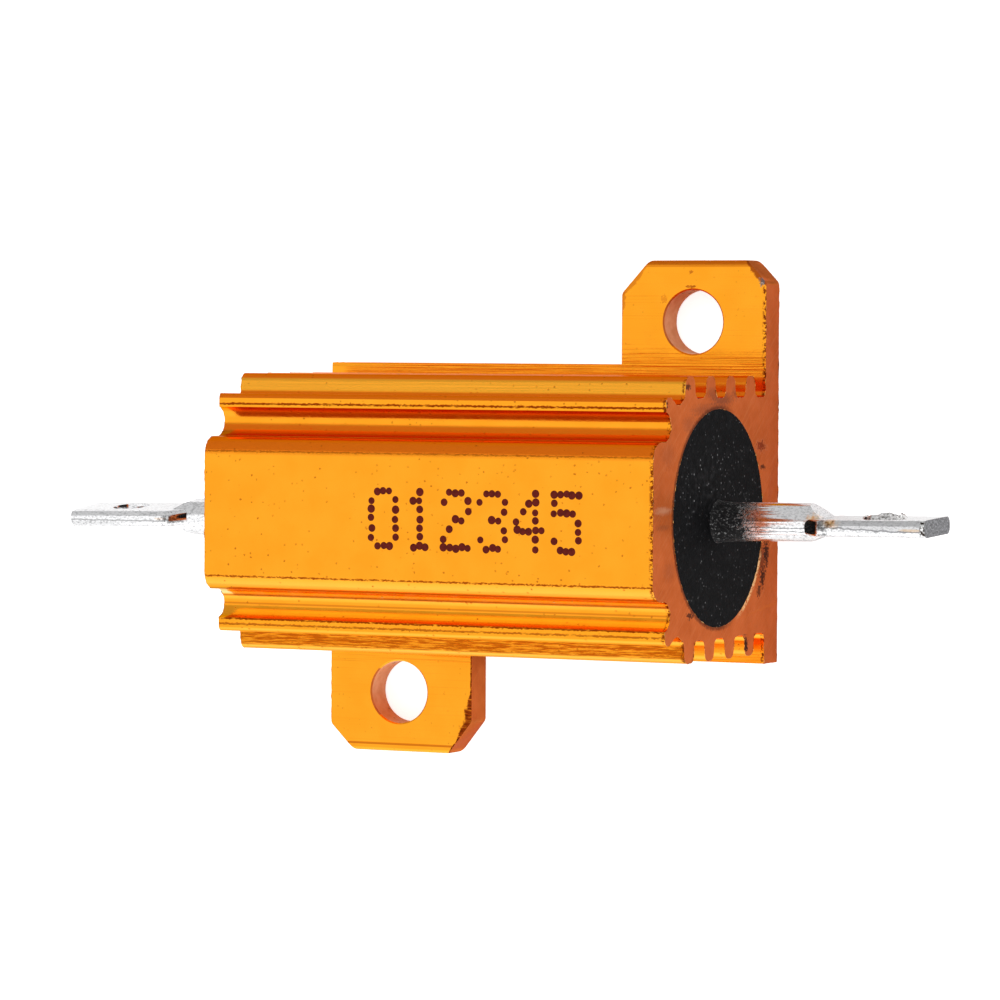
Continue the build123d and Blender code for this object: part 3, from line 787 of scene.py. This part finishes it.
sawn_gold, tree, shader, place = new_finish("sawn_gold", metallic=1.0)
sawn = ramp(tree, grain(tree, place, 1.8), (0.35, (0.56, 0.13, 0.027)), (0.65, (0.64, 0.158, 0.038)))
turned = put(tree, "ShaderNodeVectorRotate", {"Vector": place, "Angle": radians(52)}, rotation_type="X_AXIS")
scratches = grain(tree, turned.outputs[0], 0.13, detail=3.0, stretch=(1, 30, 1))
sawn = blend(tree, ease(tree, scratches, 0.56, 0.72, 0.0, 0.35), sawn, (0.7, 0.24, 0.08))
smudge = (0.14, 0.05, 0.035)
soot_and_painted_light = (0.02, 0.008, 0.006)
tan_and_painted_highlight = (0.75, 0.42, 0.26)
end_marks = (
    ((13.7, 6.45, 7.72), (0.4, 0.55, 2.0), 0.8, smudge, 0.6),
    ((13.7, 6.8, 8.92), (0.4, 0.45, 1.0), 0.8, smudge, 0.4),
    ((13.7, 6.8, 5.72), (0.4, 0.45, 1.0), 0.8, smudge, 0.4),
    ((13.7, 5.9, 9.5), (0.4, 0.5, 3.0), 0.8, smudge, 0.4),
    ((13.7, 5.13, 11.9), (0.4, 0.7, 1.3), 0.8, smudge, 0.3),
    ((13.7, 3.57, 14.7), (0.4, 1.0, 1.2), 0.8, smudge, 0.22),
    ((13.7, -2.67, 14.5), (0.4, 0.8, 1.0), 0.8, smudge, 0.2),
    ((13.7, -0.3, 15.28), (0.4, 0.22, 1.3), 0.8, smudge, 0.25),
    # A painted highlight band across the top of the end face.
    ((13.7, 0.6, 15.3), (0.4, 0.3, 1.6), 0.9, tan_and_painted_highlight, 0.55),
    ((13.7, -5.15, 11.76), (0.4, 0.2, 0.5), 0.4, soot_and_painted_light, 0.9),
    ((13.7, -2.6, 2.15), (0.4, 1.2, 0.6), 0.5, (0.16, 0.035, 0.012), 0.8),
    ((13.7, -2.1, 1.6), (0.4, 1.0, 0.42), 0.5, soot_and_painted_light, 0.95),
    ((13.7, -3.5, 2.1), (0.4, 0.65, 0.34), 0.5, soot_and_painted_light, 0.9),
    ((13.7, -4.2, 2.6), (0.4, 0.4, 0.32), 0.5, soot_and_painted_light, 0.75),
    ((13.7, 3.84, 2.4), (0.4, 0.4, 0.9), 0.5, tan_and_painted_highlight, 0.2),
    ((13.7, 3.84, 2.4), (0.4, 0.28, 0.6), 0.3, (0.25, 0.03, 0.004), 0.9),
    ((13.7, 2.66, 2.1), (0.4, 0.14, 0.35), 0.3, soot_and_painted_light, 0.8),
    # A painted shadow at the lowest fin's tip.
    ((13.7, -7.1, 4.4), (0.4, 0.5, 0.4), 0.3, soot_and_painted_light, 1.0),
    ((13.7, 6.24, 15.25), (0.4, 0.24, 0.55), 0.3, soot_and_painted_light, 0.9),
    ((13.7, 7.18, 12.19), (0.4, 0.16, 0.4), 0.3, soot_and_painted_light, 0.8),
)
for centre, spread, softness, colour, strength in end_marks:
    raggedness = 1.2 if softness > 0.7 else 3.2
    mark = spot(tree, place, centre, spread, grain=0.14, ragged=raggedness, edge=softness)
    sawn = blend(tree, work_out(tree, "MULTIPLY", mark, strength), sawn, colour)

# The bore's edge is dark with compound over the pin and crumbled bright below it.
bore_middle = 8.05
bore_radius = 5.95
sides = put(tree, "ShaderNodeSeparateXYZ", {0: place}).outputs
off_bore = work_out_vector(tree, "SUBTRACT", place, (0, 0, bore_middle))
off_bore = work_out_vector(tree, "MULTIPLY", off_bore, (0, 1, 1))
off_bore = put(tree, "ShaderNodeVectorMath", {0: off_bore}, operation="LENGTH").outputs["Value"]
crumble = grain(tree, place, 0.16, detail=5.0, roughness=0.7)
off_bore = work_out(tree, "ADD", off_bore, work_out(tree, "MULTIPLY", work_out(tree, "SUBTRACT", crumble, 0.5), 0.4))
rim = ease(tree, off_bore, bore_radius + 0.08, bore_radius + 0.26, 1.0, 0.0)
dark_rim = work_out(tree, "MULTIPLY", rim, ease(tree, sides["Z"], 5.5, 8.0, 0.0, 0.7))
sawn = blend(tree, dark_rim, sawn, (0.06, 0.015, 0.008))
bright_rim = ease(tree, off_bore, bore_radius + 0.18, bore_radius + 0.34, 1.0, 0.0)
bright_rim = work_out(tree, "MULTIPLY", bright_rim, ease(tree, sides["Z"], 4.0, 6.0, 1.0, 0.0))
bright_rim = work_out(tree, "MULTIPLY", bright_rim, ease(tree, sides["Y"], -2.6, -1.8, 1.0, 0.0))
bright_rim = work_out(tree, "MULTIPLY", bright_rim, ease(tree, crumble, 0.44, 0.52))
sawn = blend(tree, bright_rim, sawn, (1.0, 0.68, 0.32))
marks = lay(tree, specks_group, place=place, spacing=1.3, size=0.12, share=0.35, ragged=1.2)
sawn = blend(tree, work_out(tree, "MULTIPLY", marks, 0.7), sawn, (0.1, 0.03, 0.02))
tree.links.new(sawn, shader.inputs["Base Color"])
shader.inputs["Specular Tint"].default_value = (1.0, 0.66, 0.6, 1)
tree.links.new(ease(tree, grain(tree, place, 0.6), 0.3, 0.7, 0.4, 0.5), shader.inputs["Roughness"])
relief(tree, shader, work_out(tree, "ADD", grain(tree, place, 0.14, detail=4.0), scratches), 0.012)

torn_gold, tree, shader, place = new_finish("torn_gold", metallic=1.0)
burr = grain(tree, place, 0.2, detail=6.0, roughness=0.7)
burr_colours = (
    (0.41, (0.05, 0.012, 0.004)),
    (0.46, (0.4, 0.09, 0.012)),
    (0.52, (0.95, 0.4, 0.06)),
    (0.62, (1.0, 0.7, 0.32)),
)
tree.links.new(ramp(tree, burr, *burr_colours), shader.inputs["Base Color"])
shader.inputs["Roughness"].default_value = 0.3
relief(tree, shader, burr, 0.06)

drilled_gold, tree, shader, place = new_finish("drilled_gold", metallic=0.6)
drilled = ramp(tree, grain(tree, place, 0.5), (0.35, (0.86, 0.34, 0.15)), (0.65, (0.95, 0.43, 0.22)))
faces = put(tree, "ShaderNodeSeparateXYZ", {0: put(tree, "ShaderNodeTexCoord").outputs["Normal"]}).outputs["Y"]
# Painted highlights: the hole walls facing up and down are painted pale, as if lit from below.
painted_highlight_ends = ease(tree, work_out(tree, "ABSOLUTE", faces), 0.55, 0.9)
drilled = blend(tree, painted_highlight_ends, drilled, (1.0, 0.86, 0.72))
nicks = lay(tree, specks_group, place=place, spacing=0.6, size=0.14, share=0.35, ragged=1.4)
drilled = blend(tree, work_out(tree, "MULTIPLY", nicks, 0.85), drilled, (0.12, 0.012, 0.006))
tree.links.new(drilled, shader.inputs["Base Color"])
shader.inputs["Roughness"].default_value = 0.5
relief(tree, shader, grain(tree, place, 0.1, stretch=(1, 1, 0.3)), 0.01)

housing_low, housing_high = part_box("housing")
flange_top = 0.0018
burr_step = 0.0002
holes = next(mount for mount in frame["record"]["mounts"] if mount["name"] == "mounting_holes")
hole_radius = holes["dims"]["hole_r_mm"] / 1000
hole_centre = Vector((0.00925, 0.0107))
shape = merged("housing")
for face in shape.faces:
    middle = face.calc_center_median()
    on_end = abs(face.normal.x) > 0.5
    on_ear_tip = abs(middle.y) > housing_high.y - 0.0002
    upright = abs(face.normal.z) < 0.2 and middle.z < flange_top + 0.00005
    face.material_index = int(on_end or (upright and not on_ear_tip))
    off_hole = (Vector((abs(middle.x), abs(middle.y))) - hole_centre).length
    if upright and off_hole < hole_radius + 0.0001:
        face.material_index = 3


def on_body_end(edge):
    """True for an edge that lies in one of the two sawn ends."""
    return all(abs(vert.co.x) > housing_high.x - 0.000002 for vert in edge.verts)


end_edges = [edge for edge in sharp_edges(shape) if on_body_end(edge)]
for edge in end_edges:
    edge.tag = True
by_cuts = {}
for edge in end_edges:
    by_cuts.setdefault(int(edge.calc_length() / burr_step), []).append(edge)
for cuts, edges in by_cuts.items():
    if cuts:
        bmesh.ops.bisect_edges(shape, edges=edges, cuts=cuts)
end_edges = [edge for edge in sharp_edges(shape) if on_body_end(edge)]
torn_faces = break_edges(shape, end_edges, 0.0001)
for face in torn_faces:
    face.material_index = 2
torn_set = set(torn_faces)
for vert in {vert for face in torn_faces for vert in face.verts}:
    if all(face in torn_set for face in vert.link_faces):
        vert.co += 0.00006 * noise.noise_vector(vert.co * 4200)
others = [edge for edge in sharp_edges(shape) if not any(face in torn_set for face in edge.link_faces)]
break_edges(shape, others, 0.00004)
finishes = (extruded_gold, sawn_gold, torn_gold, drilled_gold)
as_piece("gold_housing", shape, finishes, "gold_anodised_aluminium", "housing")

# Marking: plain digits sprayed on the flat top in dark brown ink, each digit a grid of drops
# five wide and seven high. The drops wander a little and run together along the rows.
digits = {
    "0": ("01110", "10001", "10001", "10001", "10001", "10001", "01110"),
    "1": ("00100", "01100", "00100", "00100", "00100", "00100", "01110"),
    "2": ("01110", "10001", "00001", "00110", "01000", "10000", "11111"),
    "3": ("01110", "10001", "00001", "00110", "00001", "10001", "01110"),
    "4": ("00010", "00110", "01010", "10010", "11111", "00010", "00010"),
    "5": ("11111", "10000", "11110", "00001", "00001", "10001", "01110"),
}
marking_text = "012345"
marking_start = -0.0032
marking_top = 0.00142
column_pitch = 0.000368
row_pitch = 0.0005
drop_radius = 0.00021
ink_height = 0.000012
top_height = housing_high.z

brown_ink, tree, shader, place = new_finish("brown_ink")
ink = ramp(tree, grain(tree, place, 0.2, detail=4.0), (0.3, (0.085, 0.007, 0.004)), (0.7, (0.15, 0.013, 0.007)))
tree.links.new(ink, shader.inputs["Base Color"])
shader.inputs["Roughness"].default_value = 0.5
shader.inputs["Specular IOR Level"].default_value = 0.08
relief(tree, shader, grain(tree, place, 0.1), 0.01)

chance = random.Random(7)
shape = bmesh.new()
for place_in_row, digit in enumerate(marking_text):
    for row, cells in enumerate(digits[digit]):
        for column, cell in enumerate(cells):
            if cell == "0":
                continue
            x = marking_start + (place_in_row * 6 + column) * column_pitch + chance.uniform(-1, 1) * 0.00004
            y = marking_top - row * row_pitch + chance.uniform(-1, 1) * 0.00006
            drop = bmesh.ops.create_cone(
                shape,
                cap_ends=True,
                segments=20,
                radius1=drop_radius * chance.uniform(0.9, 1.12),
                radius2=drop_radius * 0.8,
                depth=ink_height,
                matrix=Matrix.Translation((x, y, top_height + ink_height / 2)),
            )
as_piece("marking_digits", shape, (brown_ink,), "gold_anodised_aluminium")

low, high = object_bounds()
